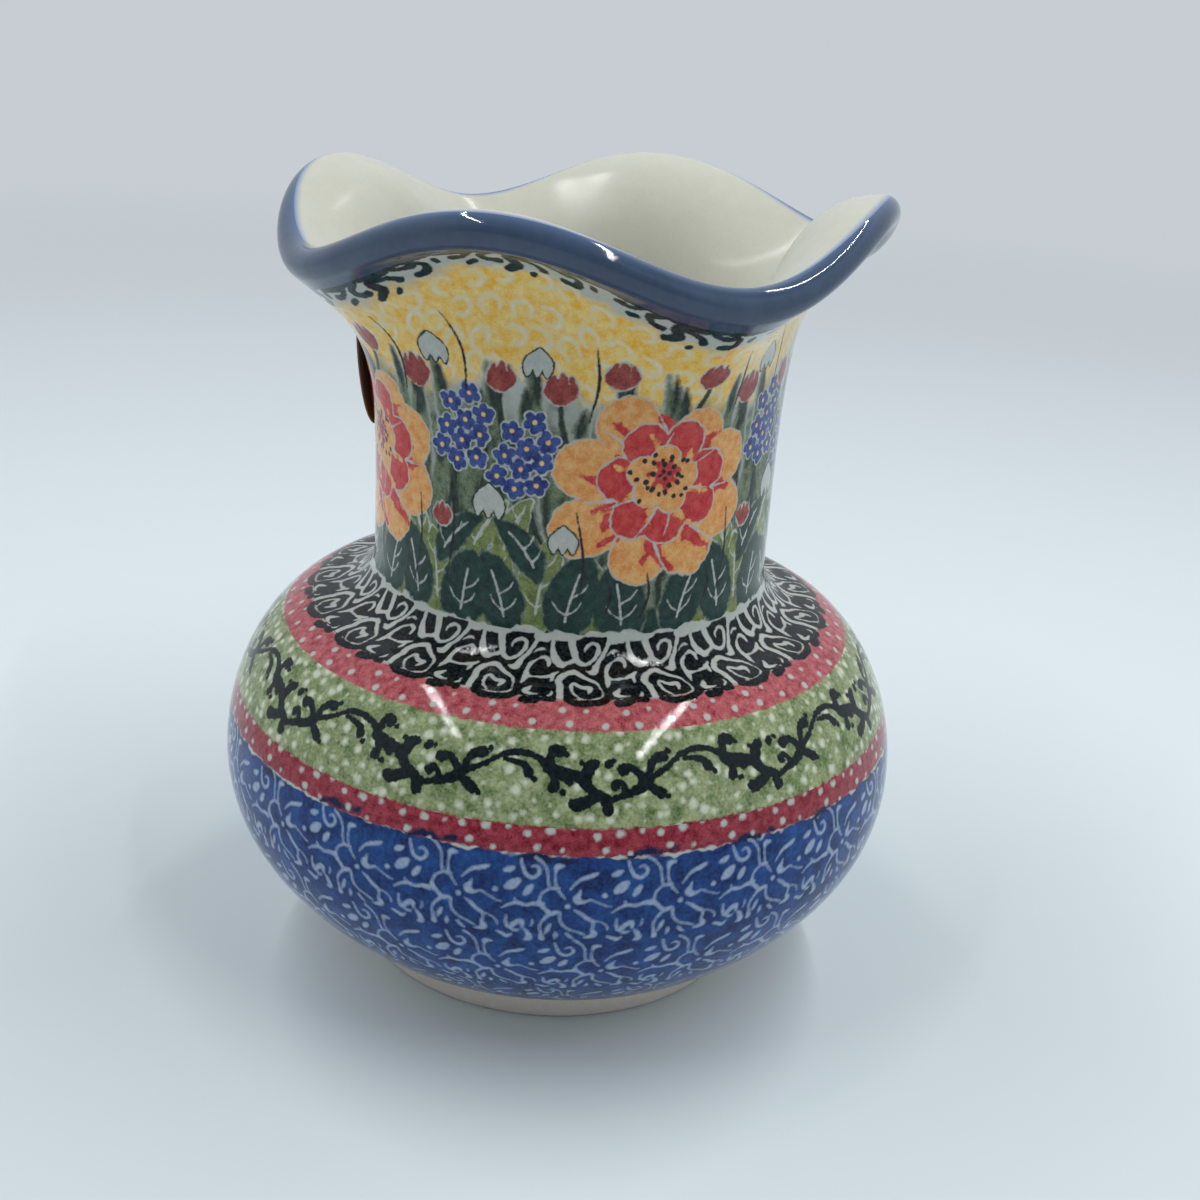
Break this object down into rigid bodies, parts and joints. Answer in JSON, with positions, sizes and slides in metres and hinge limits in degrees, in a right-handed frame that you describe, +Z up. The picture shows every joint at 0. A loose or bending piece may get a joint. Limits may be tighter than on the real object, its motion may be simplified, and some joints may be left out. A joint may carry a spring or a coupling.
{
  "type": "ceramic vase",
  "caption": "Small stoneware vase with a squat round belly, a straight neck and a flaring ruffled mouth, in painted and glazed bands.",
  "frame": {"origin": "on the table, under the middle of the foot ring", "axes": "+Z up along the vase's axis; the four crests of the mouth lie close to the X and Y axes"},
  "size_m": [0.108, 0.108, 0.1253],
  "materials": {
    "bare_clay": "unglazed fired stoneware, smooth and matt",
    "blue_ground_glaze": "glossy clear glaze over cobalt leaves with white outlines",
    "red_dot_glaze": "glossy clear glaze over dusty red with white dots",
    "green_vine_glaze": "glossy clear glaze over sponged green with a dark vine",
    "charcoal_scroll_glaze": "glossy clear glaze over charcoal scrolls on white",
    "flower_border_glaze": "glossy clear glaze over a painted flower border",
    "lip_glaze": "thick glossy slate-blue glaze",
    "ivory_glaze": "glossy ivory glaze",
    "label_paper": "blank brown paper, matt"
  },
  "bodies": {
    "root": {"clay_bowl": "bare_clay", "clay_shoulder": "bare_clay", "clay_neck": "bare_clay", "clay_mouth": "bare_clay", "blue_ground": "blue_ground_glaze", "lower_dot_band": "red_dot_glaze", "vine_band": "green_vine_glaze", "upper_dot_band": "red_dot_glaze", "scroll_band": "charcoal_scroll_glaze", "neck_panel": "flower_border_glaze", "mouth_panel": "flower_border_glaze", "lip_band": "lip_glaze", "liner_body": "ivory_glaze", "liner_mouth": "ivory_glaze", "paper_label": "label_paper"}
  },
  "joints": []
}
